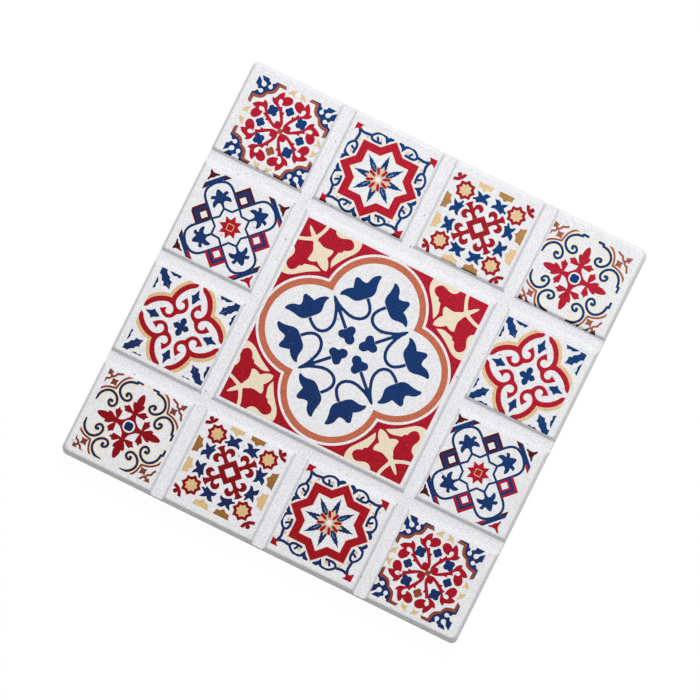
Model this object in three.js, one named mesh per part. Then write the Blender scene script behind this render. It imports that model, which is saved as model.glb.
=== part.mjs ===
// Square mosaic drink coaster: white tiles bonded to a backing plate and grouted, on a cork pad.
// One large tile fills the middle, and small tiles run round it as a border.
// Millimetres, +Z up, +Y to the back. The origin is on the table, under the coaster's middle.
import * as THREE from 'three';

// Mosaic, seen from above
const TILES_PER_SIDE = 4;
const TILE_SIDE = 22.9;
const JOINT_WIDTH = 2.8;
const OUTER_CORNER_RADIUS = 1.4;
const TILE_CORNER_RADIUS = 0.5;

// Tile section: the flank leans in from the grout line, and a soft shoulder rounds it into the face
const TILE_RELIEF = 1.1;
const FLANK_RUN = 0.55;
const SHOULDER_RUN = 0.3;
const SHOULDER_DROP = 0.2;

// Layers, from the table up
const CORK_THICKNESS = 1.6;
const FILM_THICKNESS = 0.15;
const PLATE_THICKNESS = 1.6;
const BED_THICKNESS = 0.3;
const GROUT_DEPTH = 1.4;

// Cork pad, set in from the plate's edge so that it is out of sight from above
const PAD_MARGIN = 3;
const PAD_CORNER_RADIUS = 3;
const FILM_SETBACK = 0.6;

// Fineness of the round corners and of the tiles' shoulders
const ARC_STEPS = 3;
const SHOULDER_STEPS = 3;

// Sizes that follow from the ones above
const PITCH = TILE_SIDE + JOINT_WIDTH;
const COASTER_SIDE = TILES_PER_SIDE * PITCH - JOINT_WIDTH;
const CENTRE_SIDE = COASTER_SIDE - 2 * PITCH;
const PAD_SIDE = COASTER_SIDE - 2 * PAD_MARGIN;
const FILM_BASE = CORK_THICKNESS;
const PLATE_BASE = FILM_BASE + FILM_THICKNESS;
const BED_BASE = PLATE_BASE + PLATE_THICKNESS;
const TILE_BASE = BED_BASE + BED_THICKNESS;

const FINISHES = {
  cork: { color: 0xb98a58, roughness: 0.95, metalness: 0 },
  film: { color: 0xe6dfc8, roughness: 0.5, metalness: 0 },
  plate: { color: 0xd9d9da, roughness: 0.85, metalness: 0 },
  bed: { color: 0xdcdbd7, roughness: 0.8, metalness: 0 },
  grout: { color: 0xe4e4e6, roughness: 0.9, metalness: 0 },
  tile: { color: 0xececee, roughness: 0.7, metalness: 0 },
};

// Rounded square about its own centre; radii go from the front left corner, anticlockwise from above
function roundedSquare(side, radii) {
  const [frontLeft, frontRight, backRight, backLeft] = radii;
  const half = side / 2;
  const quarterTurn = Math.PI / 2;
  const shape = new THREE.Shape();
  shape.absarc(half - frontRight, -half + frontRight, frontRight, -quarterTurn, 0);
  shape.absarc(half - backRight, half - backRight, backRight, 0, quarterTurn);
  shape.absarc(-half + backLeft, half - backLeft, backLeft, quarterTurn, 2 * quarterTurn);
  shape.absarc(-half + frontLeft, -half + frontLeft, frontLeft, 2 * quarterTurn, 3 * quarterTurn);
  shape.closePath();
  return shape;
}

function layerGeometry(shape, thickness) {
  return new THREE.ExtrudeGeometry(shape, { depth: thickness, bevelEnabled: false, curveSegments: ARC_STEPS });
}

// Heights and insets of the tile's outline, from its back up to its face
function tileSection() {
  const face = GROUT_DEPTH + TILE_RELIEF;
  const section = [{ height: 0, inset: 0 }, { height: GROUT_DEPTH, inset: 0 }];
  for (let step = 0; step <= SHOULDER_STEPS; step += 1) {
    const turn = (step / SHOULDER_STEPS) * (Math.PI / 2);
    section.push({
      height: face - SHOULDER_DROP * (1 - Math.sin(turn)),
      inset: FLANK_RUN + SHOULDER_RUN * (1 - Math.cos(turn)),
    });
  }
  return section;
}

// A tile is its outline drawn up through the section, shrinking about the tile's centre
function tileGeometry(side, radii) {
  const section = tileSection();
  const steps = section.length - 1;
  const geometry = new THREE.ExtrudeGeometry(roundedSquare(side, radii), {
    depth: 1, steps, bevelEnabled: false, curveSegments: ARC_STEPS,
  });
  const position = geometry.attributes.position;
  for (let index = 0; index < position.count; index += 1) {
    const { height, inset } = section[Math.round(position.getZ(index) * steps)];
    const shrink = 1 - (2 * inset) / side;
    position.setXYZ(index, position.getX(index) * shrink, position.getY(index) * shrink, height);
  }
  geometry.computeVertexNormals();
  return geometry;
}

// The joints between the tiles as one outline: each side's joints, turned round the coaster
function groutShape() {
  const half = COASTER_SIDE / 2;
  const points = [];
  for (let side = 0; side < 4; side += 1) {
    const turn = side * (Math.PI / 2);
    const origin = new THREE.Vector2();
    for (let joint = 1; joint < TILES_PER_SIDE; joint += 1) {
      const end = joint * PITCH - half;
      const start = end - JOINT_WIDTH;
      const inner = TILE_SIDE - half;
      const corners = [[start, inner], [start, -half], [end, -half], [end, inner]];
      // A side's first inner corner is the last one of the side before it
      for (const [x, y] of joint === 1 ? corners.slice(1) : corners) {
        points.push(new THREE.Vector2(x, y).rotateAround(origin, turn));
      }
    }
  }
  const shape = new THREE.Shape(points);
  shape.holes.push(roundedSquare(CENTRE_SIDE, Array(4).fill(TILE_CORNER_RADIUS)));
  return shape;
}

const coaster = new THREE.Group();

function addPiece(name, geometry, finish, x, y, z) {
  const piece = new THREE.Mesh(geometry, new THREE.MeshStandardMaterial(FINISHES[finish]));
  piece.name = name;
  piece.position.set(x, y, z);
  coaster.add(piece);
}

const padShape = roundedSquare(PAD_SIDE, Array(4).fill(PAD_CORNER_RADIUS));
const filmShape = roundedSquare(PAD_SIDE - 2 * FILM_SETBACK, Array(4).fill(PAD_CORNER_RADIUS - FILM_SETBACK));
const plateShape = roundedSquare(COASTER_SIDE, Array(4).fill(OUTER_CORNER_RADIUS));
addPiece('cork_pad', layerGeometry(padShape, CORK_THICKNESS), 'cork', 0, 0, 0);
addPiece('cork_adhesive_film', layerGeometry(filmShape, FILM_THICKNESS), 'film', 0, 0, FILM_BASE);
addPiece('backing_plate', layerGeometry(plateShape, PLATE_THICKNESS), 'plate', 0, 0, PLATE_BASE);
addPiece('tile_adhesive_bed', layerGeometry(plateShape, BED_THICKNESS), 'bed', 0, 0, BED_BASE);
addPiece('grout_lattice', layerGeometry(groutShape(), GROUT_DEPTH), 'grout', 0, 0, TILE_BASE);

// Border tiles: a column counts from the left and a row from the front
function addBorderTile(name, column, row) {
  const last = TILES_PER_SIDE - 1;
  const cornerCells = [[0, 0], [last, 0], [last, last], [0, last]];
  const radii = cornerCells.map(([x, y]) => (x === column && y === row ? OUTER_CORNER_RADIUS : TILE_CORNER_RADIUS));
  const place = (cell) => cell * PITCH + (TILE_SIDE - COASTER_SIDE) / 2;
  addPiece(name, tileGeometry(TILE_SIDE, radii), 'tile', place(column), place(row), TILE_BASE);
}

const LAST = TILES_PER_SIDE - 1;
addBorderTile('corner_tile_front_left', 0, 0);
addBorderTile('corner_tile_front_right', LAST, 0);
addBorderTile('corner_tile_back_right', LAST, LAST);
addBorderTile('corner_tile_back_left', 0, LAST);
for (let cell = 1; cell < LAST; cell += 1) {
  addBorderTile(`edge_tile_front_${cell}`, cell, 0);
  addBorderTile(`edge_tile_back_${cell}`, cell, LAST);
  addBorderTile(`edge_tile_left_${cell}`, 0, cell);
  addBorderTile(`edge_tile_right_${cell}`, LAST, cell);
}
const centreRadii = Array(4).fill(TILE_CORNER_RADIUS);
addPiece('centre_tile', tileGeometry(CENTRE_SIDE, centreRadii), 'tile', 0, 0, TILE_BASE);

export default coaster;
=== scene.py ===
import math

import bmesh
import bpy
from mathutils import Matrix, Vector, bvhtree, geometry, noise


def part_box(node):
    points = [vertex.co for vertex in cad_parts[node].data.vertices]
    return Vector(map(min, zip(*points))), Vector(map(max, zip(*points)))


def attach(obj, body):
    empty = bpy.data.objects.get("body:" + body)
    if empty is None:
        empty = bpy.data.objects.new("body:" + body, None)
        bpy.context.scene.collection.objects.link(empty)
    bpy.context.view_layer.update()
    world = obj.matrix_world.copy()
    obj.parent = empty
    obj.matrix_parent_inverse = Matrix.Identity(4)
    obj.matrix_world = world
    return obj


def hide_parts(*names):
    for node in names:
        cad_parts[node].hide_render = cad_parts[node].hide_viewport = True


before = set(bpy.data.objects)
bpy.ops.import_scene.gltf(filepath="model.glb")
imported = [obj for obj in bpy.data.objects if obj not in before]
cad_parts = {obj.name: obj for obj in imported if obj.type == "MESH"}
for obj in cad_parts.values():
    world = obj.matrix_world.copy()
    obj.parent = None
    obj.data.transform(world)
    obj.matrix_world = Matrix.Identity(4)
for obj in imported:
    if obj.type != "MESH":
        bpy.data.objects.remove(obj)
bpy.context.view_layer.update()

# Backing plate: a cast stone board that carries the mosaic.
# Its sawn edge is the thin darker band under the tiles, and its arrises are rubbed down.
scene = bpy.context.scene
MM = 0.001
TOUCH = 0.001 * MM
PLATE_CORNER = 1.4 * MM
PLATE_ARRIS = 0.15 * MM
BOARD_CORNER_STEPS = 8
BOARD_ARRIS_STEPS = 3
FLAT_NORMAL = 0.9999
# How strongly the mottling, sand and specks show in plain stone, and how deep the sand is
STONE_CLOUD = 0.05
STONE_SAND = 0.52
STONE_FINE_SPECKS = 0.05
STONE_DARK_SPECKS = 0.28
STONE_RELIEF = 0.06 * MM


class Wire:
    """A socket of a node tree. Sums on wires add Math nodes, and node() adds any other node."""

    def __init__(self, tree, socket=None):
        self.tree = tree
        self.socket = socket

    def node(self, kind, settings=None, sockets=None, output=0):
        """Adds a node with its settings and inputs, and gives the wire from one of its outputs."""
        made = self.tree.nodes.new(kind)
        for name, value in (settings or {}).items():
            setattr(made, name, value)
        for key, value in (sockets or {}).items():
            for item in value if isinstance(value, list) else [value]:
                if isinstance(item, Wire):
                    self.tree.links.new(item.socket, made.inputs[key])
                else:
                    made.inputs[key].default_value = item
        return Wire(self.tree, made.outputs[output])

    def also(self, output):
        """The wire from another output of the same node."""
        return Wire(self.tree, self.socket.node.outputs[output])

    def plug(self, socket):
        self.tree.links.new(self.socket, socket)

    def mix(self, share, first, second, blend="MIX"):
        """A colour on the way from the first to the second, or their product with MULTIPLY."""
        return self.node("ShaderNodeMix", {"data_type": "RGBA", "blend_type": blend},
                         {0: share, 6: first, 7: second}, 2)

    def grain(self, place, per_metre, detail, output=0):
        """Soft noise, with about the given number of patches to the metre."""
        return self.node("ShaderNodeTexNoise", {},
                         {"Vector": place, "Scale": per_metre, "Detail": detail}, output)

    def bump(self, strength, depth):
        """A relief whose height is this wire."""
        return self.node("ShaderNodeBump", {},
                         {"Strength": strength, "Distance": depth, "Height": self})

    def math(self, operation, first, second):
        return self.node("ShaderNodeMath", {"operation": operation}, {0: first, 1: second})

    def __add__(self, other):
        return self.math("ADD", self, other)

    def __radd__(self, other):
        return self.math("ADD", other, self)

    def __sub__(self, other):
        return self.math("SUBTRACT", self, other)

    def __rsub__(self, other):
        return self.math("SUBTRACT", other, self)

    def __mul__(self, other):
        return self.math("MULTIPLY", self, other)

    def __rmul__(self, other):
        return self.math("MULTIPLY", other, self)

    def __truediv__(self, other):
        return self.math("DIVIDE", self, other)

    def __rtruediv__(self, other):
        return self.math("DIVIDE", other, self)

    def __lt__(self, other):
        return self.math("LESS_THAN", self, other)

    def __gt__(self, other):
        return self.math("GREATER_THAN", self, other)


def linear(red, green, blue):
    """A colour given in screen values of 0 to 255, as a shader's linear colour."""
    return tuple(((part / 255 + 0.055) / 1.055) ** 2.4 for part in (red, green, blue)) + (1,)


def new_finish(name, roughness, gloss=0.25):
    """A new material, the wire that adds nodes to it, and its shader."""
    material = bpy.data.materials.new(name)
    material.use_nodes = True
    shader = material.node_tree.nodes["Principled BSDF"]
    shader.inputs["Roughness"].default_value = roughness
    shader.inputs["Specular IOR Level"].default_value = gloss
    return material, Wire(material.node_tree), shader


def specks(tree, place, per_metre, radius, share):
    """1 on small round specks, one to a cell of the given density, kept in a share of the cells."""
    cells = tree.node("ShaderNodeTexVoronoi", {}, {"Vector": place, "Scale": per_metre})
    chance = tree.node("ShaderNodeSeparateColor", {}, {"Color": cells.also("Color")})
    return (cells < radius) * (chance < share)


def stone_finish(name, colour, grain, roughness):
    """White cast stone with a sandy grain, faint mottling and a few grey specks."""
    material, tree, shader = new_finish(name, roughness)
    place = tree.node("ShaderNodeTexCoord", output="Object")
    cloud = tree.grain(place, per_metre=260, detail=4)
    sand = tree.grain(place, per_metre=3200, detail=2)
    fine = specks(tree, place, per_metre=900, radius=0.22, share=0.35)
    dark = specks(tree, place, per_metre=300, radius=0.09, share=0.5)
    tone = 1 + (cloud - 0.5) * (STONE_CLOUD * grain) + (sand - 0.5) * (STONE_SAND * grain)
    tone = tone - fine * (STONE_FINE_SPECKS * grain) - dark * (STONE_DARK_SPECKS * grain)
    tree.mix(1.0, colour, tone, "MULTIPLY").plug(shader.inputs["Base Color"])
    sand.bump(strength=0.7, depth=STONE_RELIEF).plug(shader.inputs["Normal"])
    return material


def cast(mould, name):
    """The mesh of a finished mould, which is then cleared away."""
    mesh = bpy.data.meshes.new(name)
    mould.to_mesh(mesh)
    mould.free()
    return mesh


def soften(mesh, degrees):
    """Smooth shading, but sharp at edges that turn further than the angle and flat on flat faces."""
    mesh.shade_smooth()
    mesh.set_sharp_from_angle(angle=math.radians(degrees))
    for face in mesh.polygons:
        if max(abs(part) for part in face.normal) > FLAT_NORMAL:
            face.use_smooth = False


def rise(edge):
    return abs(edge.verts[0].co.z - edge.verts[1].co.z)


def round_off(mould, edges, radius, steps):
    bmesh.ops.bevel(mould, geom=edges, offset=radius, segments=steps, profile=0.5, affect="EDGES")


def rounded_board(node, corner, arris, material):
    """A square board in a CAD piece's box, with round corners and small rounded arrises."""
    low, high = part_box(node)
    mould = bmesh.new()
    bmesh.ops.create_cube(mould, size=1)
    for point in mould.verts:
        point.co = [low[axis] if point.co[axis] < 0 else high[axis] for axis in range(3)]
    upright = [edge for edge in mould.edges if rise(edge) > TOUCH]
    round_off(mould, upright, corner, BOARD_CORNER_STEPS)
    rims = [edge for edge in mould.edges if rise(edge) < TOUCH
            and any(abs(face.normal.z) < 0.5 for face in edge.link_faces)]
    round_off(mould, rims, arris, BOARD_ARRIS_STEPS)
    mesh = cast(mould, node)
    mesh.materials.append(material)
    soften(mesh, degrees=35)
    return mesh


def add_piece(name, mesh, slot, *nodes):
    """Adds a finished piece, attached to the root body, and hides the CAD pieces that it replaces, if
    any. The slot is not used.
    """
    piece = bpy.data.objects.new(name, mesh)
    scene.collection.objects.link(piece)
    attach(piece, "root")
    if nodes:
        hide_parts(*nodes)


PLATE_STONE = stone_finish("plate_stone", linear(190, 192, 191), grain=1.9, roughness=0.9)
add_piece("backing_plate_board",
          rounded_board("backing_plate", PLATE_CORNER, PLATE_ARRIS, PLATE_STONE),
          "plate", "backing_plate")

# Tile adhesive bed: a thin combed layer of white cement that bonds the tiles to the plate.
# It only shows as a hairline in the edge, between the plate and the tiles.
BED_ARRIS = 0.04 * MM
BED_CEMENT = stone_finish("bed_cement", linear(216, 216, 217), grain=1.0, roughness=0.9)
add_piece("tile_adhesive_bed_layer",
          rounded_board("tile_adhesive_bed", PLATE_CORNER, BED_ARRIS, BED_CEMENT),
          "bed", "tile_adhesive_bed")

# Tiles: white stone pressed in a mould, one large one in the middle and twelve small ones round it.
# The mould's draft leans the flanks in, and a soft shoulder turns each flank into the flat face.
# They are bonded to the bed, and the outermost corners are rounded with the plate's.
TILE_STONE = stone_finish("tile_stone", linear(233, 233, 236), grain=1.25, roughness=0.75)
TILE_CORNER = 0.5 * MM
TILE_CORNER_STEPS = 6
TILE_FOOT = 1.4 * MM
FLANK_RUN = 0.5 * MM
SHOULDER_RUN = 0.5 * MM
SHOULDER_DROP = 0.28 * MM
SHOULDER_STEPS = 5
INK_ROOM = 0.03 * MM


def new_rule(name, inputs):
    """An empty geometry node tree with named inputs, and the wires from those inputs."""
    tree = bpy.data.node_groups.new(name, "GeometryNodeTree")
    tree.interface.new_socket("Geometry", in_out="INPUT", socket_type="NodeSocketGeometry")
    for label, kind in inputs.items():
        tree.interface.new_socket(label, in_out="INPUT", socket_type="NodeSocket" + kind)
    tree.interface.new_socket("Geometry", in_out="OUTPUT", socket_type="NodeSocketGeometry")
    entry = tree.nodes.new("NodeGroupInput")
    return tree, {socket.name: Wire(tree, socket) for socket in entry.outputs if socket.name}


def end_rule(tree, shape, material):
    """Makes instances real, sets the material and leaves the tree."""
    whole = shape.node("GeometryNodeRealizeInstances", {}, {"Geometry": shape})
    coated = whole.node("GeometryNodeSetMaterial", {}, {"Geometry": whole, "Material": material})
    leave = tree.nodes.new("NodeGroupOutput")
    coated.plug(leave.inputs[0])


def grow(tree, data, values):
    """The plain mesh that a geometry tree makes of some data with the given input values."""
    holder = bpy.data.objects.new("holder", data)
    scene.collection.objects.link(holder)
    modifier = holder.modifiers.new("rule", "NODES")
    modifier.node_group = tree
    for item in tree.interface.items_tree:
        if item.in_out == "INPUT" and item.name in values:
            modifier[item.identifier] = values[item.name]
    graph = bpy.context.evaluated_depsgraph_get()
    mesh = bpy.data.meshes.new_from_object(holder.evaluated_get(graph), depsgraph=graph)
    holder.modifiers.remove(modifier)
    bpy.data.objects.remove(holder)
    return mesh


def tile_relief(low, high):
    """How far a tile's face stands above its foot, with room left for the ink."""
    return high[2] - low[2] - TILE_FOOT - INK_ROOM


# The tile's rule: a square with round corners is drawn up in rings, each shrunk by its inset
tile_rule, given = new_rule("moulded_tile", {
    "Centre": "Vector", "Side": "Float", "Corner Radius": "Float", "Outer Corner": "Vector",
    "Outer Radius": "Float", "Foot": "Float", "Relief": "Float", "Flank Run": "Float",
    "Shoulder Run": "Float", "Shoulder Drop": "Float", "Material": "Material"})
start = Wire(tile_rule)
square = start.node("GeometryNodeCurvePrimitiveQuadrilateral", {},
                    {"Width": given["Side"], "Height": given["Side"]})
spot = start.node("ShaderNodeSeparateXYZ", {}, {0: start.node("GeometryNodeInputPosition")})
way = start.node("ShaderNodeSeparateXYZ", {}, {0: given["Outer Corner"]})
outer = (spot.also("X") * way.also("X") > TOUCH) * (spot.also("Y") * way.also("Y") > TOUCH)
radius = given["Corner Radius"] + outer * (given["Outer Radius"] - given["Corner Radius"])
square = start.node("GeometryNodeFilletCurve", {"mode": "POLY"},
                    {"Curve": square, "Count": TILE_CORNER_STEPS, "Radius": radius})
back = start.node("GeometryNodeFillCurve", {"mode": "NGONS"}, {"Curve": square})
rings = [(given["Foot"], 0.0)]
for step in range(SHOULDER_STEPS + 1):
    turn = step / SHOULDER_STEPS * math.pi / 2
    rings.append((given["Foot"] + given["Relief"] - given["Shoulder Drop"] * (1 - math.sin(turn)),
                  given["Flank Run"] + given["Shoulder Run"] * (1 - math.cos(turn))))
solid = back
top = None
height_before = 0.0
shrink_before = 1.0
for height, inset in rings:
    shrink = 1 - 2 * inset / given["Side"]
    sockets = {"Mesh": solid, "Offset": (0, 0, 1), "Offset Scale": height - height_before,
               "Individual": False}
    if top:
        sockets["Selection"] = top
    drawn = start.node("GeometryNodeExtrudeMesh", {"mode": "FACES"}, sockets)
    top = drawn.also("Top")
    ratio = shrink / shrink_before
    scale = start.node("ShaderNodeCombineXYZ", {}, {"X": ratio, "Y": ratio, "Z": 1.0})
    moved = start.node("ShaderNodeVectorMath", {"operation": "MULTIPLY"},
                       {0: start.node("GeometryNodeInputPosition"), 1: scale})
    solid = start.node("GeometryNodeSetPosition", {},
                       {"Geometry": drawn, "Selection": top, "Position": moved})
    height_before = height
    shrink_before = shrink
back = start.node("GeometryNodeFlipFaces", {}, {"Mesh": back})
solid = start.node("GeometryNodeJoinGeometry", {}, {0: [solid, back]})
solid = start.node("GeometryNodeMergeByDistance", {}, {"Geometry": solid, "Distance": TOUCH})
solid = start.node("GeometryNodeTransform", {}, {"Geometry": solid, "Translation": given["Centre"]})
end_rule(tile_rule, solid, given["Material"])

TILE_NODES = ["centre_tile"]
for depth in ("front", "back"):
    for hand in ("left", "right"):
        TILE_NODES.append(f"corner_tile_{depth}_{hand}")
for side in ("front", "back", "left", "right"):
    for cell in (1, 2):
        TILE_NODES.append(f"edge_tile_{side}_{cell}")
for node in TILE_NODES:
    low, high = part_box(node)
    middle = ((low[0] + high[0]) / 2, (low[1] + high[1]) / 2, low[2])
    corner = node.startswith("corner")
    toward = [math.copysign(1, part) if corner else 0.0 for part in middle[:2]]
    tile = grow(tile_rule, bpy.data.meshes.new(node), {
        "Centre": middle, "Side": high[0] - low[0], "Corner Radius": TILE_CORNER,
        "Outer Corner": (toward[0], toward[1], 0.0), "Outer Radius": PLATE_CORNER,
        "Foot": TILE_FOOT, "Relief": tile_relief(low, high), "Flank Run": FLANK_RUN,
        "Shoulder Run": SHOULDER_RUN, "Shoulder Drop": SHOULDER_DROP, "Material": TILE_STONE})
    tile.name = node
    soften(tile, degrees=40)
    add_piece(node + "_body", tile, "tile", node)

# Prints: coloured ornament printed on the tile faces before laying, traditional tile motifs in
# flat inks. A print is one thin film, cut to its square, in which a later ink covers an earlier one.
# All prints stand a little off square, and ink that runs over a tile's front shoulder is darkened by
# painted shade.
INK_THICKNESS = 0.02 * MM
# How much painted shade darkens the ink toward the front and toward the left, to the metre, and how
# strongly its mottling, sand and bare specks show
INK_FRONT_SHADE = 9.5
INK_LEFT_SHADE = 3.7
INK_CLOUD = 0.08
INK_SAND = 2.3
INK_BARE = 0.2
# How wide a line an ink spreads to along its outline, in mm
INK_SPREAD = {"navy": 0.12, "red": 0.12, "ruby": 0.12, "crimson": 0.12, "maroon": 0.12,
              "copper": 0.1, "rust": 0.1}
# Where the painted shade on the front shoulder ends, and the length over which it fades
SHOULDER_SHADE_INSET = 0.95 * MM
SHOULDER_SHADE_BAND = 0.3 * MM
# Outlines: points on a curve and on a lobe, the gap that is closed and a height above all inks, in mm
CURVE_STEPS = 5
LOBE_STEPS = 8
OUTLINE_GAP = 1e-4
RAY_HEIGHT = 100
# All prints' turn in radians, how much shorter they get to the mm toward the back, and their reach in mm
PRINT_TURN = 0.0055
PRINT_PULL = 0.00015
PRINT_REACH = (9.97, 9.97)
# The sides of a print: the axis, and the way that the side faces
SIDES = (
    (0, Vector((-1, 0, 0))),
    (0, Vector((1, 0, 0))),
    (1, Vector((0, -1, 0))),
    (1, Vector((0, 1, 0))),
)
DESIGNS = {}
PARTED = {}


def ink_finish(name, pale, deep, grain, shoulder_shade_depth):
    """Matt ink on stone, with painted shade darkening it toward the front left and over the front
    shoulder, and the stone's grain showing in it.
    """
    material, tree, shader = new_finish(name, roughness=0.6, gloss=0.05)
    place = tree.node("ShaderNodeTexCoord", output="Object")
    spot = tree.node("ShaderNodeSeparateXYZ", {}, {0: place})
    # Painted shade: the ink is mixed toward its darker tint toward the front left
    shade_share = 0.5 - spot.also("Y") * INK_FRONT_SHADE - spot.also("X") * INK_LEFT_SHADE
    body = tree.mix(shade_share, pale, deep)
    cloud = tree.grain(place, per_metre=700, detail=3)
    sand = tree.grain(place, per_metre=4600, detail=2)
    tone = 1 + ((cloud - 0.5) * INK_CLOUD + (sand - 0.5) * INK_SAND) * grain
    even = tree.mix(1.0, body, tone, "MULTIPLY")
    bare = specks(tree, place, per_metre=1100, radius=0.09, share=0.3) * INK_BARE
    worn = tree.mix(bare, even, linear(225, 222, 222))
    # Painted shade: over the front shoulder the ink is mixed toward near black, as far as the rim
    # attribute reaches
    rim = tree.node("ShaderNodeAttribute", {"attribute_name": "rim"}, {}, "Fac")
    tree.mix(rim * shoulder_shade_depth, worn, linear(14, 12, 14)).plug(shader.inputs["Base Color"])
    sand.bump(strength=0.25, depth=STONE_RELIEF).plug(shader.inputs["Normal"])
    return material


# Each ink's tint at the back right and its darker tint under painted shade at the front left, how grainy
# it is, and how much painted shade darkens it over the front shoulder
INKS = {}
for colour, pale, deep, grain, shoulder_shade_depth in (
        ("red", (186, 30, 53), (154, 15, 26), 1.1, 0.85),
        ("ruby", (181, 32, 53), (139, 14, 21), 1.1, 0.85),
        ("crimson", (160, 30, 41), (132, 13, 19), 1.1, 0.85),
        ("navy", (13, 63, 122), (30, 41, 87), 1.1, 0.85),
        ("maroon", (88, 20, 26), (70, 20, 26), 1.1, 0.85),
        ("copper", (166, 92, 66), (136, 62, 42), 1.1, 0.85),
        ("terracotta", (200, 110, 84), (188, 103, 76), 0.8, 0.85),
        ("tan", (227, 198, 156), (218, 184, 134), 0.55, 0.4),
        ("ochre", (176, 131, 81), (148, 102, 46), 0.8, 0.85),
        ("blue", (132, 164, 204), (110, 140, 176), 1.1, 0.85),
        ("straw", (246, 234, 206), (242, 226, 191), 0.4, 0.3),
        ("rust", (161, 93, 72), (128, 59, 43), 1.1, 0.85),
        ("cream", (239, 225, 201), (232, 217, 191), 0.3, 0.1)):
    INKS[colour] = ink_finish("ink_" + colour, linear(*pale), linear(*deep), grain, shoulder_shade_depth)

# The stamp: an outline is filled, or a line drawn to the given width, then repeated round the middle
stamp_rule, given = new_rule("ink_stamp", {
    "Line Width": "Float", "Spread": "Float", "Mirror": "Bool", "Copies": "Int", "Step": "Float",
    "First": "Float", "Material": "Material"})
start = Wire(stamp_rule)
filled = start.node("GeometryNodeFillCurve", {"mode": "NGONS"}, {"Curve": given["Geometry"]})
level = start.node("GeometryNodeSetCurveNormal", {"mode": "Z_UP"}, {"Curve": given["Geometry"]})
nib = start.node("GeometryNodeCurvePrimitiveLine", {}, {"Start": (-0.5, 0, 0), "End": (0.5, 0, 0)})
width = given["Line Width"] + given["Spread"]
drawn = start.node("GeometryNodeCurveToMesh", {},
                   {"Curve": level, "Profile Curve": nib, "Scale": width})
drawn = start.node("GeometryNodeSwitch", {"input_type": "GEOMETRY"},
                   {"Switch": width > 0, "True": drawn})
filled = start.node("GeometryNodeSwitch", {"input_type": "GEOMETRY"},
                    {"Switch": given["Line Width"] > 0, "False": filled})
shape = start.node("GeometryNodeJoinGeometry", {}, {0: [filled, drawn]})
twin = start.node("GeometryNodeTransform", {}, {"Geometry": shape, "Scale": (-1, 1, 1)})
twin = start.node("GeometryNodeFlipFaces", {}, {"Mesh": twin})
twin = start.node("GeometryNodeSwitch", {"input_type": "GEOMETRY"},
                  {"Switch": given["Mirror"], "True": twin})
pair = start.node("GeometryNodeJoinGeometry", {}, {0: [shape, twin]})
places = start.node("GeometryNodePoints", {}, {"Count": given["Copies"], "Position": (0, 0, 0)})
angle = given["First"] + given["Step"] * start.node("GeometryNodeInputIndex")
turn = start.node("FunctionNodeAxisAngleToRotation", {}, {"Axis": (0, 0, 1), "Angle": angle})
pair = start.node("GeometryNodeGeometryToInstance", {}, {0: pair})
ring = start.node("GeometryNodeInstanceOnPoints", {},
                  {"Points": places, "Instance": pair, "Rotation": turn})
end_rule(stamp_rule, ring, given["Material"])


def outline(text):
    """Points of an outline in mm, from x and y pairs; a pair marked ! is a sharp corner."""
    points = []
    for pair in text.split(","):
        x, y = pair.replace("!", " ").split()
        points.append((float(x), float(y), "!" in pair))
    return points


def star(x, y, tips, outer, inner, turn=0.0):
    """A star about a point, from how far its tips and the notches between them reach."""
    points = []
    for index in range(2 * tips):
        reach = inner if index % 2 else outer
        angle = math.radians(turn) + index * math.pi / tips
        points.append((x + reach * math.sin(angle), y + reach * math.cos(angle), True))
    return points


def rosette(x, y, lobes, outer, inner, turn=0.0):
    """A flower of round lobes, from how far its lobes and the notches between them reach."""
    half = math.pi / lobes
    away = (outer ** 2 - inner ** 2) / (2 * (outer - inner * math.cos(half)))
    points = []
    for lobe in range(lobes):
        for step in range(LOBE_STEPS):
            lean = half * (2 * step / LOBE_STEPS - 1)
            rest = math.sqrt((outer - away) ** 2 - (away * math.sin(lean)) ** 2)
            reach = away * math.cos(lean) + rest
            angle = math.radians(turn) + 2 * half * lobe + lean
            points.append((x + reach * math.sin(angle), y + reach * math.cos(angle), step == 0))
    return points


def arc(x, y, reach, first, last, steps):
    """Points along a round arc, in degrees clockwise from the back."""
    points = []
    for index in range(steps + 1):
        angle = math.radians(first + (last - first) * index / steps)
        points.append((x + reach * math.sin(angle), y + reach * math.cos(angle), index in (0, steps)))
    return points


def flipped(points):
    return [(-x, y, corner) for x, y, corner in points]


def lay(design, colour, points, width=0.0, mirror=True, copies=4, step=90, first=0):
    """Adds one ink shape to a design, repeated round the design's middle."""
    points = outline(points) if isinstance(points, str) else points
    data = bpy.data.curves.new("outline", "CURVE")
    data.dimensions = "3D"
    data.resolution_u = CURVE_STEPS
    spline = data.splines.new("BEZIER")
    spline.bezier_points.add(len(points) - 1)
    spline.use_cyclic_u = not width
    for knot, (x, y, corner) in zip(spline.bezier_points, points):
        knot.co = (x, y, 0)
        knot.handle_left_type = "VECTOR" if corner else "AUTO"
        knot.handle_right_type = knot.handle_left_type
    mesh = grow(stamp_rule, data, {
        "Line Width": width, "Spread": INK_SPREAD.get(colour, 0.0), "Mirror": mirror,
        "Copies": copies, "Step": math.radians(step), "First": math.radians(first),
        "Material": INKS[colour]})
    DESIGNS.setdefault(design, []).append((colour, mesh))


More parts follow.
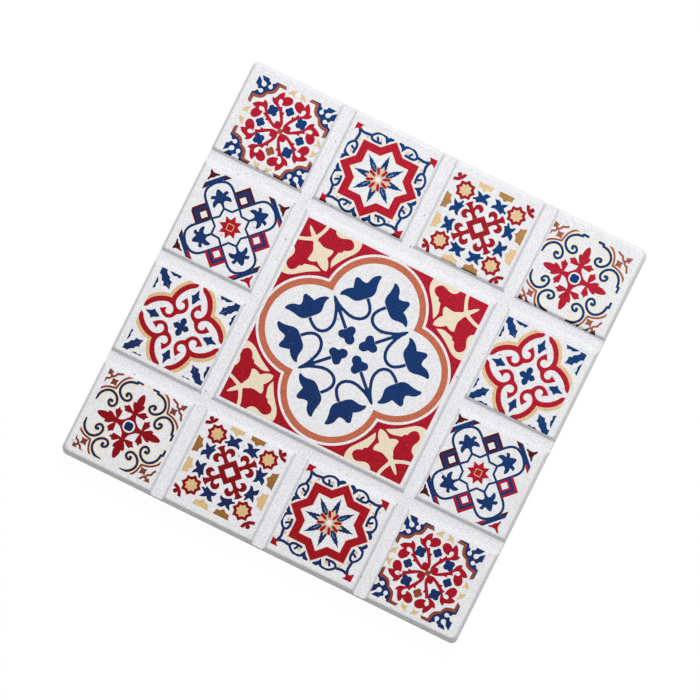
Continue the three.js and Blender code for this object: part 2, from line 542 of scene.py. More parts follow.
def part_inks(design):
    """The design's inks parted in the plane: points, and triangles with the colour that shows there."""
    spots = []
    loops = []
    owners = []
    borders = []
    for order, (colour, mesh) in enumerate(DESIGNS[design]):
        base = len(spots)
        spots.extend(Vector((point.co.x, point.co.y, order)) for point in mesh.vertices)
        uses = {}
        for face in mesh.polygons:
            loops.append([base + index for index in face.vertices])
            owners.append(colour)
            for edge in face.edge_keys:
                uses[edge] = uses.get(edge, 0) + 1
        borders.extend((base + first, base + last) for (first, last), count in uses.items()
                       if count == 1)
    stack = bvhtree.BVHTree.FromPolygons(spots, loops)
    parted = geometry.delaunay_2d_cdt([spot.xy for spot in spots], borders, [], 0, OUTLINE_GAP)
    points, faces = parted[0], parted[2]
    parts = []
    for face in faces:
        middle = sum((points[index] for index in face), Vector((0, 0))) / 3
        ink = stack.ray_cast(Vector((middle.x, middle.y, RAY_HEIGHT)), Vector((0, 0, -1)))[2]
        if ink is not None:
            parts.append((face, owners[ink]))
    return points, parts


def place_inks(design, centre, offset, stretch):
    """A design's inks as a flat film, in mm about the print's middle, and the colours in it."""
    if design not in PARTED:
        PARTED[design] = part_inks(design)
    points, parts = PARTED[design]
    colours = sorted({colour for face, colour in parts})
    film = bmesh.new()
    knots = []
    for x, y in points:
        x = x * stretch[0]
        y = y * stretch[1] * (1 - PRINT_PULL * centre[1])
        spot = (x + PRINT_TURN * y + offset[0], y - PRINT_TURN * x + offset[1], 0)
        knots.append(film.verts.new(spot))
    for face, colour in parts:
        film.faces.new([knots[index] for index in face]).material_index = colours.index(colour)
    return film, colours


def trim(film, reach, back_room):
    """Cuts a flat film to the print's square, with some room more at the back."""
    for axis, normal in SIDES:
        edge = reach[axis] + (back_room if normal.y > 0 else 0)
        bmesh.ops.bisect_plane(film, geom=film.verts[:] + film.edges[:] + film.faces[:],
                               plane_co=normal * edge, plane_no=normal, clear_outer=True)
    loose = [knot for knot in film.verts if not knot.link_faces]
    bmesh.ops.delete(film, geom=loose, context="VERTS")


def crease(film, middle, half):
    """Parts a flat film along the lines where it bends over the tile's shoulder."""
    for axis, normal in SIDES:
        for step in range(SHOULDER_STEPS, -1, -1):
            inset = FLANK_RUN + SHOULDER_RUN * (1 - math.cos(step / SHOULDER_STEPS * math.pi / 2))
            fold = middle + normal * (half - inset)
            over = [knot for knot in film.verts
                    if knot.co[axis] * normal[axis] > fold[axis] * normal[axis]]
            if not over:
                break
            faces = {face for knot in over for face in knot.link_faces}
            near = {part for face in faces for part in (face, *face.edges, *face.verts)}
            bmesh.ops.bisect_plane(film, geom=list(near), plane_co=fold, plane_no=normal)
    bmesh.ops.dissolve_degenerate(film, dist=TOUCH, edges=film.edges[:])


def sink(inset, relief):
    """How far a tile's surface lies below its face, at an inset from the tile's side."""
    if inset >= FLANK_RUN + SHOULDER_RUN:
        return 0
    if inset >= FLANK_RUN:
        left = 1 - (inset - FLANK_RUN) / SHOULDER_RUN
        return SHOULDER_DROP * (1 - math.sqrt(max(0, 1 - left * left)))
    return SHOULDER_DROP + (relief - SHOULDER_DROP) * (1 - inset / FLANK_RUN)


def thicken(film, thickness):
    """Raises a copy of a film and closes the sides; the film itself then faces down."""
    film.normal_update()
    raised = bmesh.ops.extrude_face_region(film, geom=film.faces[:], use_keep_orig=True)
    for part in raised["geom"]:
        if isinstance(part, bmesh.types.BMVert):
            part.co.z += thickness


def add_print(design, node, centre, back_room, offset, stretch, reach=PRINT_REACH):
    """Lays a design's inks on a tile: placed, cut to the print's square, bent and thickened."""
    film, colours = place_inks(design, centre, offset, stretch)
    trim(film, reach, back_room)
    for knot in film.verts:
        knot.co = Vector((knot.co.x + centre[0], knot.co.y + centre[1], 0)) * MM
    low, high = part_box(node)
    middle = Vector((low[0] + high[0], low[1] + high[1], 0)) / 2
    half = (high[0] - low[0]) / 2
    crease(film, middle, half)
    # The rim attribute holds painted shade, full on the front shoulder and fading toward the face
    rim = film.verts.layers.float.new("rim")
    for knot in film.verts:
        away = knot.co - middle
        inset = half - max(abs(away.x), abs(away.y))
        knot.co.z = high[2] - INK_ROOM - sink(inset, tile_relief(low, high))
        knot[rim] = min(1, max(0, (SHOULDER_SHADE_INSET - half - away.y) / SHOULDER_SHADE_BAND))
    thicken(film, INK_THICKNESS)
    flat = film.loops.layers.uv.new("OFBake")
    for face in film.faces:
        for corner in face.loops:
            away = (corner.vert.co - middle) / (2 * half)
            corner[flat].uv = (0.5 + away.x, 0.5 + away.y)
    mesh = cast(film, "print_" + node)
    for colour in colours:
        mesh.materials.append(INKS[colour])
    add_piece("print_" + node, mesh, "print_ink")


# Bud design: four pairs of red buds round a copper square, with navy and copper lace in the corners
lay("bud", "red",
    "0.33 7.1, 0.62 7.75, 1.3 7.98, 2 7.8, 2.62 7.3!, 2.75 7.95, 3.02 8.5!, 3.7 7.85, 4.05 7.15, "
    "4.35 6.35!, 5 6.4!, 4.78 5.8, 4.3 5.3, 3.5 5, 2.75 4.7, 2.15 3.95, 1.62 3.15, 1.16 2.45, "
    "0.86 1.72!, 1.1 1.9, 1.42 1.93, 1.7 1.84, 1.77 1.77!, 0.3 0.3!, 0.28 0.8, 0.2 1.4, 0.28 1.9, "
    "0.58 2.6, 0.94 3.3, 1.1 3.6!, 0.96 4.26!, 1.55 4.2!, 1.78 4.6, 2.08 5.36!, 2.42 5!, 2.8 5.2, "
    "3.15 5.5, 3.4 5.95, 3.42 6.4, 3.2 6.75, 2.85 6.8, 2.5 6.6, 2.35 6.2, 2.42 5.65!, 2 5.68, 1.3 5.87, "
    "0.75 6.3, 0.42 6.7")
lay("bud", "navy", rosette(3.6, 3.62, 4, 1.3, 0.87, 45), mirror=False)
lay("bud", "navy", rosette(0, 5, 4, 1.04, 0.72), mirror=False, copies=2)
lay("bud", "navy", rosette(0, 5, 4, 1.04, 0.72), mirror=False, copies=1, first=270)
lay("bud", "copper", rosette(0, 5, 4, 1.04, 0.72), mirror=False, copies=1, first=180)
lay("bud", "copper", "0 0.58, 0.36 0.5, 0.5 0.5, 0 0!")
lay("bud", "tan",
    "0.32 9.82!, 1 9.85, 1.65 9.5, 2.1 8.9, 2.35 8.3!, 1.7 8.65, 1.1 8.65, 0.4 8.35!, 0.75 8.9, "
    "0.7 9.4")
lay("bud", "navy",
    "6.75 6.75!, 6.1 7.1, 5.55 7.6, 5.25 8.3, 5.2 9.1, 5 9.6!, 3.4 9.7!, 3.5 10!, 5.45 10!, 5.75 9.35, "
    "6.28 9.05!, 6.3 8.72!, 6 8.4, 5.97 7.95, 6.3 7.62, 6.72 7.62, 7.03 7.95, 7 8.4, 6.7 8.72!, "
    "6.85 9.05!, 7.35 9.3, 7.55 10!, 9.45 10!, 8.6 8.95!, 8.2 8.82, 7.75 8.65, 7.5 8.25, 7.58 7.8, "
    "7.7 7.7!")
lay("bud", "copper",
    "6.45 6.45!, 5.75 6.75, 5.15 7.2, 4.8 7.9, 4.65 8.6, 4.6 9.05!, 2.9 9.1!, 3.35 9.93!, 4 9.65, "
    "5.05 9.6!, 5.22 9.1, 5.27 8.3, 5.57 7.6, 6.12 7.1, 6.8 6.8!")

# Ring design: a red eight-point ring round a pointed flower, with navy vines along the sides
lay("ring", "cream", "0 9.8!, 2.8 7.08!, 7.1 7.1!, 4.88 4.88!, 1.9 4.88!, 0 6.88!")
lay("ring", "red", "0 9.5!, 2.7 6.82!, 6.82 6.82!, 5.1 5.1!, 2 5.1!, 0 7.2!")
lay("ring", "tan", "0 0.8!, 0.2 1.3, 0.36 2.1, 0.36 2.7, 0 3.3!")
lay("ring", "tan", "0 1!, 0.35 1.3, 0.7 2, 0.86 2.5, 0.8 3!, 0.4 3.05!, 0 3!", first=45)
lay("ring", "navy",
    "0 5.88!, 0.19 5, 0.42 4.52!, 0.34 4.25!, 0.58 3.8!, 0.5 3.55!, 0.68 3!, 0.6 2.35!, 0.38 2.6, "
    "0.22 3, 0 3.35!")
lay("ring", "navy",
    "0 5.98!, 0.2 5, 0.44 4.5!, 0.36 4.2!, 0.58 3.75!, 0.48 3.5!, 0.62 3!, 0.46 2.5, 0.3 2!, 0.1 1.8!, "
    "0 1.9!", first=45)
lay("ring", "blue", "0.08 2.3!, 0.12 2.9!, 0.02 3.75!", width=0.17, mirror=False, first=45)
lay("ring", "red",
    "0.1 0.85!, 0.25 1.35, 0.29 1.95, 0.28 2.4, 0.1 2.72, 0 2.74", copies=8, step=45, first=22.5)
lay("ring", "tan", [(0, 0.95, True), (0.67, 0.67, True), (0.48, 0.48, True), (0, 0.68, True)])
lay("ring", "navy", "8.72 8.72, 8.15 8.45, 7.36 8.28, 6.5 8.38, 5.6 8.5", width=0.52)
lay("ring", "navy", "5.65 8.5, 5.1 9.12, 4.3 9.6, 3.5 9.75, 2.7 9.58, 2.2 9.4", width=0.44)
lay("ring", "navy", "5.62 8.5, 5.45 7.95, 4.8 7.6, 3.9 7.58, 2.86 7.72", width=0.48)
lay("ring", "navy", "3.88 7.8, 4.05 8.3, 4.42 8.75", width=0.42)
lay("ring", "navy",
    "0.6 9.62!, 0.85 9.95, 1.6 9.83, 2 9.47, 2.7 9.62!, 2.6 9.2!, 2.35 8.8, 1.92 8.05!, 1.55 8.85, "
    "1.05 9.25")
lay("ring", "tan", rosette(3.3, 8.4, 3, 0.38, 0.32))
lay("ring", "tan", rosette(6.35, 7.74, 3, 0.34, 0.28))
lay("ring", "red", "10.5 10.5!, 8 10.4!, 8.1 9.9!, 8.55 9.35, 8.55 8.55!")

# Diamond design: a crimson diamond with four scrolled arms, navy starfish and eight-point stars
lay("diamond", "crimson", "0 3.05!, 1.53 1.53!, 0.71 0.71!, 0 1.42!")
lay("diamond", "crimson",
    "4.4 4.4!, 3.62 4.97!, 3.55 4.4, 3.4 4.1, 3 3.6!, 2.8 3.62!, 2.74 4.18, 2.28 4.76, 1.68 4.93, "
    "1.1 4.66, 0.77 4.08, 0.87 3.6, 1.22 3.18!, 1.5 3.7, 1.95 3.83, 2.3 3.58, 2.36 3.1, 2.05 2.6, "
    "1.25 1.95!, 1.6 1.6!")
lay("diamond", "navy",
    "0.58 7.6!, 1.1 7.72, 1.7 7.68, 2.26 6.98!, 2.95 7.4, 3.75 7.62!, 3.4 7.05, 3.17 6.5, 3.5 6.1, "
    "4.15 5.72!, 3.9 5.46!, 3.3 5.63!, 3.1 5.02!, 2.4 5.42, 1.55 5.67, 1 5.62, 0.56 5.4!, 0.56 5.82, "
    "0.85 6.25, 1.29 6.52, 1.25 6.8, 1 7.15")
lay("diamond", "crimson", star(6.43, 6.34, 8, 2.36, 1.8), mirror=False)
lay("diamond", "tan", star(6.43, 6.34, 8, 1.52, 1.14), mirror=False)
lay("diamond", "crimson", "8.45 8.45!, 8.1 8.95, 7.85 9.6, 7.75 10.4!", width=0.66)
lay("diamond", "crimson", "8.4 8.4!, 9 9!", width=0.5, mirror=False)
lay("diamond", "crimson", rosette(9.08, 9.02, 3, 0.48, 0.44), mirror=False)
half_star = outline(
    "0.45 10.2!, 0.62 9.8!, 0.9 9.2!, 0.9 8.6!, 1.8 8.5!, 2.55 7.85!, 3.25 8.5!, 4.2 8.6!, 4.2 9.2!, "
    "4.52 9.8!, 4.7 10.2!")
lay("diamond", "ochre", half_star, mirror=False, copies=2)
lay("diamond", "tan", half_star, mirror=False, copies=2, first=180)
lay("diamond", "tan", flipped(half_star), mirror=False, copies=2)
lay("diamond", "ochre", flipped(half_star), mirror=False, copies=2, first=180)

# Sprig design: a ruby leaf cross on a navy square, with straw-edged navy scrolls and rust sprigs
lay("sprig", "navy", rosette(0, 0, 4, 1.04, 0.88, 45), mirror=False, copies=1)
lay("sprig", "ruby",
    "0 1.48!, 0.56 1.37, 1.05 1.05!, 1.27 1.27!, 1.05 1.56, 0.85 1.75, 0.66 2.05, 0.53 2.5, 0.42 3.02!, "
    "1.1 2.88, 2.43 2.8!, 2.55 3.3!, 3.08 3.73!, 2.4 3.95!, 2.18 4.33!, 1.58 4.08, 0.98 3.63, 0.4 3.3!, "
    "0.75 3.95, 1.12 4.5, 1.33 5.1, 1.28 5.53!, 0.8 5.5!, 0.75 6.4, 0.5 7.2, 0.2 7.7, 0 7.8!")
scroll = outline(
    "3.45 5.95, 3.6 6.35, 3.25 6.6, 2.7 6.4, 2.36 5.86, 2.55 5.27, 3.19 4.88, 4.03 4.98, 4.88 5.55, "
    "5.38 6.35, 5.48 7.2, 5.16 8.08, 4.57 8.75, 3.78 9.2, 2.86 9.4, 2.35 9.48")
lay("sprig", "straw", scroll, width=1.28)
lay("sprig", "straw", "0 9.9!, 1 9.9!", width=0.28)
lay("sprig", "straw", "0.95 9.9!, 2.8 9.9!", width=1.1)
lay("sprig", "navy", scroll, width=0.48)
lay("sprig", "navy", rosette(3.47, 6, 3, 0.33, 0.29))
lay("sprig", "navy", "1.17 9.9!, 2.72 9.9!", width=0.52)
lay("sprig", "navy", "2.58 10!, 2.52 9.4!", width=0.42)
lay("sprig", "rust", "6.4 6.35!, 6.26 7.25, 5.94 8.3, 5.35 9.22, 4.6 9.92, 3.9 10.25", width=0.36)
lay("sprig", "rust", star(7.5, 7.4, 4, 1.06, 0.54, 45), mirror=False)
lay("sprig", "rust", "8.45 8.42!, 7.82 8.8, 7.55 9.42!, 7.05 9.55, 6.2 10.02", width=0.38)
lay("sprig", "rust", "8.3 8.3!, 9 9!", width=0.46, mirror=False)
lay("sprig", "rust", "9.85 9.85!, 9.4 9.75, 8.4 9.4!, 8.75 9.1, 8.85 8.85!")

# Cross design: a navy cross in a red scrolled quatrefoil edged in tan, with jagged corner leaves
lay("cross", "navy",
    "0 2.16!, 0.32 2, 0.62 1.62, 0.69 1.2, 0.58 0.9, 0.62 0.62!, 0 0!", copies=2, step=180)
lay("cross", "navy",
    "0 1.97!, 0.27 1.72, 0.6 1.4, 0.68 1.1, 0.56 0.84, 0.62 0.62!, 0 0!", copies=2, step=180, first=90)
lay("cross", "navy", "0 9.2!, 0.32 8.35, 0.57 7.8, 1.1 7.42!, 0.62 6.8, 0.36 6.2, 0 5.7!")
lay("cross", "tan",
    "5.7 5.7!, 5.5 6.95, 4.85 8.3, 4 9.45, 3.05 10.3, 2.7 10.8!, 1.4 10.8!, 2.4 9.3, 3.5 8.2, 4.3 7, "
    "4.6 5.8, 4.6 4.6!")
lay("cross", "red",
    "4.97 4.97!, 4.92 5.6, 4.76 6.3, 4.22 7.64, 3.4 8.82, 2.4 9.7, 1.9 9.98, 1.35 10.2!, 1.2 10.8!, "
    "0.6 10.8!, 0.63 10.1, 1 9.4, 1.8 8.85, 2.73 7.9, 3.38 6.87, 3.84 5.57, 3.79 4.66, 3.38 3.87, "
    "2.75 3.38, 2.19 3.3, 1.6 3.55, 1.27 4.14, 1.34 4.64, 1.75 5.08, 2.55 5.15!, 2.15 5.75, 1.8 6.45!, "
    "1.05 5.6, 0.57 4.64, 0.57 3.9, 0.98 3.1, 1.65 2.57, 2.25 2.25!")
lay("cross", "navy",
    "10.3 10.3!, 8.75 10.3!, 8.8 9.85, 8.35 9.35, 7.6 8.95!, 7.4 8.4, 6.68 8.15!, 6.75 7.5, 6.45 6.5!")
lay("cross", "navy", "4.9 10.5!, 8.4 10.5!, 7.6 9.95, 6.8 9.62!, 6.3 9.83, 5.5 9.62!")

# Loop design: a red star in four navy loops with palms, layered diamonds and barred corners
lay("loop", "red", star(0, 0, 8, 2.74, 1.62), mirror=False, copies=1)
lay("loop", "tan", "0 0.83!, 0.52 0.81, 0.77 0.77!, 0.64 0.64!, 0.44 0.67, 0 0.67!")
lay("loop", "navy", "0 4.72!, 1.22 3.3!, 3.25 3.22!", width=0.4)
lay("loop", "navy",
    "0 4.75!, 1.15 5.87, 2.43 7.14, 3.25 7.93, 4.18 8.57, 5.2 8.79, 6.15 8.58, 7.1 8, "
    "7.62 7.62!", width=0.46)
lay("loop", "navy",
    "6.45 6.45, 6.3 6.54, 5.9 6.5, 5.35 6.32, 4.89 6.15!, 4.75 6.6, 4.55 6.97, 4.2 7.02, 3.85 6.85!, "
    "4.1 6.4, 4.16 5.85!, 3.7 6.05, 3.25 6.03, 2.65 5.75, 2.35 5.35!, 2.95 5.2, 3.6 5.05, 3.9 4.7, "
    "3.88 4.35, 3.5 3.83, 3.1 3.35!, 3.2 3.2!")
for colour, first in (("maroon", 0), ("red", 180)):
    lay("loop", colour, "0 8.47!, 1.8 6.7!, 0 5!, 0 5.65!, 1.1 6.75!, 0 7.85!", copies=2, first=first)
    lay("loop", colour, "0 10.18!, 2.7 7.48!, 2.3 7!, 0 9.3!", copies=2, first=first)
lay("loop", "navy", "0 9.35!, 2.4 6.95!, 1.93 6.54!, 0 8.47!")
lay("loop", "navy", "8.06 8.06!, 5.4 10.72!", width=0.5)
lay("loop", "navy", "7.6 7.6!, 8.1 8.1!, 6.7 9.45!, 6.3 8.95!, 6.75 8.45")
bar = outline("4.2 10.7!, 5.1 10.7!, 6.5 9.1!, 6.05 8.95!")
lay("loop", "maroon", bar, mirror=False, copies=3, first=270)
lay("loop", "maroon", flipped(bar), mirror=False, copies=2)
lay("loop", "red", bar, mirror=False, copies=1, first=180)
lay("loop", "red", flipped(bar), mirror=False, copies=2, first=180)
horn = outline(
    "10.3 10.3!, 10 10.2, 9.4 9.75, 9 9.58, 7.55 9.74!, 7.6 9.46!, 8.15 9.2, 8.4 8.8, 8.6 8.6!")
lay("loop", "maroon", horn, mirror=False, copies=3)
lay("loop", "maroon", flipped(horn), mirror=False, copies=3, first=-90)
lay("loop", "red", horn, mirror=False, copies=1, first=270)
lay("loop", "red", flipped(horn), mirror=False, copies=1, first=180)

# Tulip design: navy tulips in a terracotta quatrefoil, on red corners with cream arabesques
lay("tulip", "red", arc(0, 10.876, 12.3, 84, 9.7, 8) + [(2, 23.4, True), (23.4, 23.4, True)])
lay("tulip", "terracotta", arc(0, 10.876, 11.64, 0, 86.6, 8) + arc(0, 10.876, 10.17, 94.4, 0, 8))
lay("tulip", "cream",
    "13.42 13.42!, 13.4 14.2, 13.55 14.7, 13.95 15.5, 14.58 16.27!, 14.1 17.2, 13.97 18, 14.2 18.45!, "
    "15.28 18.25, 16.42 18.2, 17.4 18.63, 18.3 19.17, 18.05 19.98, 17.4 21.7, 17.05 23.4!, 17.85 23.4!, "
    "18.3 21.5, 19.1 19.88!, 21 21.25, 21.3 21.3!")
lay("tulip", "cream",
    "9.05 23.4!, 8.82 21.7, 9.28 20.2, 10.36 18.7, 11.48 17.14, 12.24 15.8, 12.88 14.6!, 13.27 15.5, "
    "13.37 16.3, 13.1 17.47, 12.8 18.57!, 12.12 18.88!, 11.95 19.5!, 11.19 19.78, 10.43 20.45, "
    "10.24 21.1, 10.53 21.8, 11.47 22.42, 12.4 22.28, 13.37 21.88, 14.2 21.8, 15.1 22.2, 15.75 23.4!")
lay("tulip", "navy",
    "1.78 18, 2.2 17.96, 2.85 17.5, 3.36 16.85, 3.85 15.4, 4.15 15.1!, 4.95 15.12, 6.42 15.46, "
    "6.73 15.15, 6.64 14.36, 6.24 12.85!, 6.95 12.42, 7.84 11.55, 8.32 10.5, 8.22 10.1!, 7.5 10.45, "
    "6.6 10.55, 5.6 10.42, 4.7 10.4, 3.7 10.95, 3 11.6, 2.3 12.3, 1.57 13.15, 1.35 14.3, 1.62 15.6, "
    "1.75 17.1")
lay("tulip", "navy",
    "2.3 12.1, 1.05 10.6, 0.55 9.2, 1.05 7.75, 2.5 6.85, 4.1 6.75, 5.3 7.05, 6.3 7.4", width=0.62)
lay("tulip", "navy", "9.3 9.3, 8.95 9.22, 7.6 8.36, 6.2 7.66, 5.4 7.35!, 6.28 6.95!, 6.6 6.6!")
lay("tulip", "navy", "7 7!, 6.7 7.17!, 3.5 3.97!, 3.7 3.7!")
lay("tulip", "navy",
    "3.6 3.6!, 3.38 3.85!, 3.1 4.3, 2.55 4.75, 1.85 4.62, 1.42 4, 1.48 3.3, 1.45 2.85!, 1 2.5, "
    "0.72 1.85, 0.8 1.3, 0.97 0.97!, 2.6 2.6!")

# How each design is shifted and stretched to the size of its prints, and how far these reach in mm
FITS = {
    "bud": {"offset": (-0.05, 0), "stretch": (1.002, 1.016)},
    "ring": {"offset": (-0.15, 0.1), "stretch": (1.025, 1.007), "reach": (10.2, 9.97)},
    "diamond": {"offset": (-0.1, 0.1), "stretch": (1.021, 1.018), "reach": (10.22, 9.95)},
    "sprig": {"offset": (-0.28, -0.33), "stretch": (1.012, 1.017)},
    "cross": {"offset": (-0.07, -0.22), "stretch": (0.976, 1.015), "reach": (9.97, 10.3)},
    "loop": {"offset": (-0.17, 0.15), "stretch": (0.994, 1.014), "reach": (9.95, 10.35)},
    "tulip": {"offset": (-0.25, 0), "stretch": (1.012, 0.997), "reach": (22.9, 22.92)},
}
# The design on each tile, the middle of its print in mm, and how much further it reaches at the back
LAYOUT = (
    ("bud", "corner_tile_back_left", -37.54, 37.53, 0),
    ("ring", "edge_tile_back_1", -12.47, 37.48, 0),
    ("diamond", "edge_tile_back_2", 12.86, 37.55, 0),
    ("sprig", "corner_tile_back_right", 37.85, 37.32, 0),
    ("cross", "edge_tile_right_2", 37.86, 12.32, 0),
    ("loop", "edge_tile_right_1", 37.75, -12.84, 0.3),
    ("bud", "corner_tile_front_right", 37.47, -38.34, 0.35),
    ("ring", "edge_tile_front_2", 12.45, -38.05, 0.3),
    ("diamond", "edge_tile_front_1", -12.97, -37.75, 0),
    ("sprig", "corner_tile_front_left", -38.09, -38.06, 0),
    ("cross", "edge_tile_left_1", -37.77, -12.49, 0),
    ("loop", "edge_tile_left_2", -37.79, 12.57, 0.15),
    ("tulip", "centre_tile", -0.1, -0.08, 0),
)
for design, node, x, y, back_room in LAYOUT:
    add_print(design, node, (x, y), back_room, **FITS[design])

# Grout: white cement grout pressed into the joints and wiped, so that it lies in a shallow hollow.
# It runs out to the coaster's edge, and the tiles stand above it.
GROUT_CEMENT = stone_finish("grout_cement", linear(231, 231, 234), grain=1.4, roughness=0.9)
GROUT_STEP = 1.2 * MM
GROUT_LEAST_STEPS = 4
GROUT_SAG = 0.1 * MM
GROUT_SAG_RUN = 0.7 * MM
GROUT_WAVE = 0.03 * MM
GROUT_WAVE_LENGTH = 3 * MM
MICRON_DIGITS = 6
low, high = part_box("grout_lattice")
tile_boxes = [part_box(node) for node in TILE_NODES]


def grid_lines(axis):
    """Where the grout's mesh is parted along an axis: at the tiles' sides, and evenly between them."""
    edges = sorted({round(box[end][axis], MICRON_DIGITS) for box in tile_boxes for end in (0, 1)})
    marks = set()
    for before, after in zip(edges, edges[1:]):
        steps = max(GROUT_LEAST_STEPS, round((after - before) / GROUT_STEP))
        for index in range(steps + 1):
            marks.add(round(before + (after - before) * index / steps, MICRON_DIGITS))
    return sorted(marks)


def clearance(x, y):
    """How far a point lies outside the nearest tile, below 0 inside one."""
    return min(max(start[0] - x, x - end[0], start[1] - y, y - end[1]) for start, end in tile_boxes)


def grout_height(x, y):
    """The wiped surface: level along the tiles, hollow and a little wavy between them."""
    gap = clearance(x, y)
    sag = GROUT_SAG * min(1, max(0, gap) / GROUT_SAG_RUN)
    wave = GROUT_WAVE * (1 + noise.noise(Vector((x, y, 0)) / GROUT_WAVE_LENGTH))
    return high[2] - sag - (wave if gap > TOUCH else 0)


fill = bmesh.new()
knots = {}
across = grid_lines(0)
along = grid_lines(1)
for x0, x1 in zip(across, across[1:]):
    for y0, y1 in zip(along, along[1:]):
        if clearance((x0 + x1) / 2, (y0 + y1) / 2) < 0:
            continue
        ring = []
        for x, y in ((x0, y0), (x1, y0), (x1, y1), (x0, y1)):
            if (x, y) not in knots:
                knots[(x, y)] = fill.verts.new((x, y, grout_height(x, y)))
            ring.append(knots[(x, y)])
        fill.faces.new(ring)
foot = bmesh.ops.extrude_face_region(fill, geom=fill.faces[:], use_keep_orig=True)
for part in foot["geom"]:
    if isinstance(part, bmesh.types.BMVert):
        part.co.z = low[2]
bmesh.ops.recalc_face_normals(fill, faces=fill.faces)
mesh = cast(fill, "grout_lattice")
mesh.materials.append(GROUT_CEMENT)
soften(mesh, degrees=40)
add_piece("grout_lattice_fill", mesh, "grout", "grout_lattice")

# Cork adhesive film: a clear-drying film of glue between the plate and the cork.
# It ends just short of the cork's edge, so that none squeezes out.
FILM_CORNER = 2.4 * MM
FILM_ARRIS = 0.02 * MM
material, tree, shader = new_finish("film_glue", roughness=0.45)
place = tree.node("ShaderNodeTexCoord", output="Object")
cloud = tree.grain(place, per_metre=150, detail=3)
tree.mix(cloud, linear(222, 212, 186), linear(236, 229, 208)).plug(shader.inputs["Base Color"])
add_piece("cork_adhesive_film_layer",
          rounded_board("cork_adhesive_film", FILM_CORNER, FILM_ARRIS, material),
          "film", "cork_adhesive_film")

# Cork pad: pressed cork granules, cut from sheet, that keep the coaster from sliding or scratching.
# It is glued on, set in from the plate's edge and out of sight from above.
PAD_CORNER = 3 * MM
PAD_ARRIS = 0.1 * MM
GRANULES_PER_METRE = 520
GRANULE_BEND = 0.8 * MM
GRANULE_RELIEF = 0.2 * MM
SEAM_WIDTH = 0.09
SEAM_TONE = 0.5
BARK_SHARE = 0.08
BARK_DEPTH = 0.55
material, tree, shader = new_finish("cork_granules", roughness=0.95)
place = tree.node("ShaderNodeTexCoord", output="Object")
warp = tree.grain(place, per_metre=900, detail=2, output="Color")
bent = tree.node("ShaderNodeVectorMath", {"operation": "MULTIPLY_ADD"},
                 {0: warp, 1: (GRANULE_BEND, GRANULE_BEND, GRANULE_BEND), 2: place})
cells = {"Vector": bent, "Scale": GRANULES_PER_METRE}
granules = tree.node("ShaderNodeTexVoronoi", {}, cells)
seams = tree.node("ShaderNodeTexVoronoi", {"feature": "DISTANCE_TO_EDGE"}, cells)
chance = tree.node("ShaderNodeSeparateColor", {}, {"Color": granules.also("Color")})
tint = tree.mix(chance, linear(160, 112, 66), linear(208, 164, 112))
rim = tree.node("ShaderNodeMapRange", {}, {"Value": seams, "From Min": 0.0, "From Max": SEAM_WIDTH,
                                           "To Min": SEAM_TONE, "To Max": 1.0})
bark = (chance.also("Green") < BARK_SHARE) * BARK_DEPTH
tree.mix(1.0, tint, rim - bark * rim, "MULTIPLY").plug(shader.inputs["Base Color"])
rim.bump(strength=0.6, depth=GRANULE_RELIEF).plug(shader.inputs["Normal"])
add_piece("cork_pad_sheet", rounded_board("cork_pad", PAD_CORNER, PAD_ARRIS, material),
          "cork", "cork_pad")

# Studio: a white sweep of floor under soft light from all round, with a soft key from the back.
# The floor is white to the camera and keeps a faint shadow. The camera looks almost straight down.
WHITE = (1, 1, 1, 1)
SKY_LEVEL = 0.335
FLOOR_GREY = (0.8, 0.8, 0.8, 1)
FLOOR_GLOW = 1.01
FLOOR_WHITE_SHARE = 0.965
FLOOR_HALF_SIDE = 3
FLOOR_DROP = 0.02 * MM
FLOOR_CLEAR_REACH = 1.5 * MM
KEY_SIZE = 0.3
KEY_POWER = 4.34
KEY_PLACE = (0, 0.38, 0.66)
AZIMUTH = math.radians(26.303)
ELEVATION = math.radians(83.011)
DISTANCE = 2.7363
TARGET = Vector((-1.247, 0.095, 1.75)) * MM
SENSOR_SIDE = 36
PICTURE_SIDE = 700
FOCAL_LENGTH_IN_PIXELS = 12000

world = bpy.data.worlds.new("studio")
scene.world = world
world.use_nodes = True
world.node_tree.nodes["Background"].inputs["Color"].default_value = WHITE
world.node_tree.nodes["Background"].inputs["Strength"].default_value = SKY_LEVEL

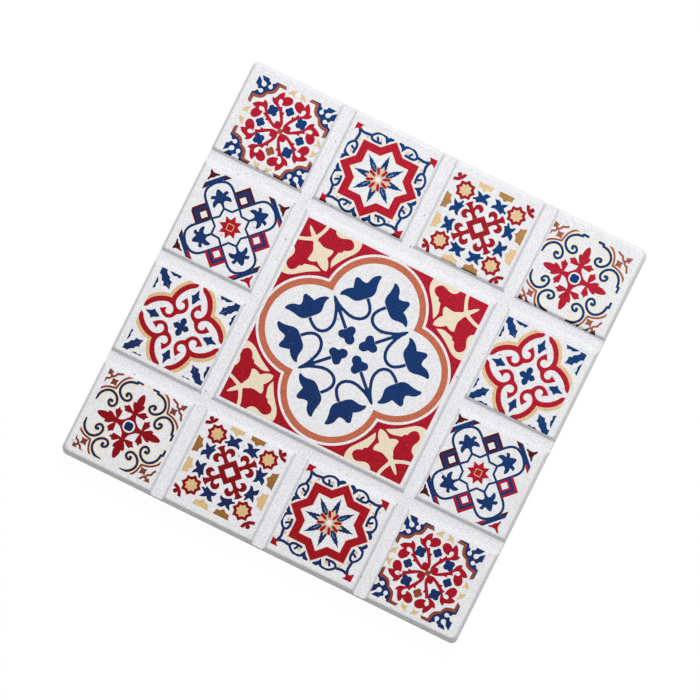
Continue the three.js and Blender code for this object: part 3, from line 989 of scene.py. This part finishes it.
# From below, and to rays from the pad's underside, the floor is clear, so that the underside is lit
material = bpy.data.materials.new("floor")
material.use_nodes = True
tree = Wire(material.node_tree)
material.node_tree.nodes.remove(material.node_tree.nodes["Principled BSDF"])
diffuse = tree.node("ShaderNodeBsdfDiffuse", {}, {"Color": FLOOR_GREY})
glow = tree.node("ShaderNodeEmission", {}, {"Color": WHITE, "Strength": FLOOR_GLOW})
path = tree.node("ShaderNodeLightPath", output="Is Camera Ray")
seen = path + path.also("Is Glossy Ray") + path.also("Is Transmission Ray")
white = tree.node("ShaderNodeMixShader", {}, {0: seen * FLOOR_WHITE_SHARE, 1: diffuse, 2: glow})
below = tree.node("ShaderNodeNewGeometry", output="Backfacing")
below = below + (path.also("Ray Length") < FLOOR_CLEAR_REACH)
clear = tree.node("ShaderNodeBsdfTransparent")
sweep = tree.node("ShaderNodeMixShader", {}, {0: below, 1: white, 2: clear})
sweep.plug(material.node_tree.nodes["Material Output"].inputs["Surface"])
sheet = bmesh.new()
bmesh.ops.create_grid(sheet, x_segments=1, y_segments=1, size=FLOOR_HALF_SIDE)
for point in sheet.verts:
    point.co.z = -FLOOR_DROP
mesh = cast(sheet, "floor")
mesh.materials.append(material)
floor = bpy.data.objects.new("floor", mesh)
scene.collection.objects.link(floor)

data = bpy.data.lights.new("key", "AREA")
data.shape = "DISK"
data.size = KEY_SIZE
data.energy = KEY_POWER
key = bpy.data.objects.new("key", data)
key.location = KEY_PLACE
key.rotation_euler = (-key.location).to_track_quat("-Z", "Y").to_euler()
scene.collection.objects.link(key)

back = Vector((math.sin(AZIMUTH) * math.cos(ELEVATION), -math.cos(AZIMUTH) * math.cos(ELEVATION),
               math.sin(ELEVATION)))
data = bpy.data.cameras.new("camera")
data.sensor_width = SENSOR_SIDE
data.lens = SENSOR_SIDE * FOCAL_LENGTH_IN_PIXELS / PICTURE_SIDE
data.clip_end = 10
camera = bpy.data.objects.new("camera", data)
camera.location = TARGET + DISTANCE * back
camera.rotation_euler = (-back).to_track_quat("-Z", "Y").to_euler()
scene.collection.objects.link(camera)
scene.camera = camera
scene.view_settings.view_transform = "Standard"
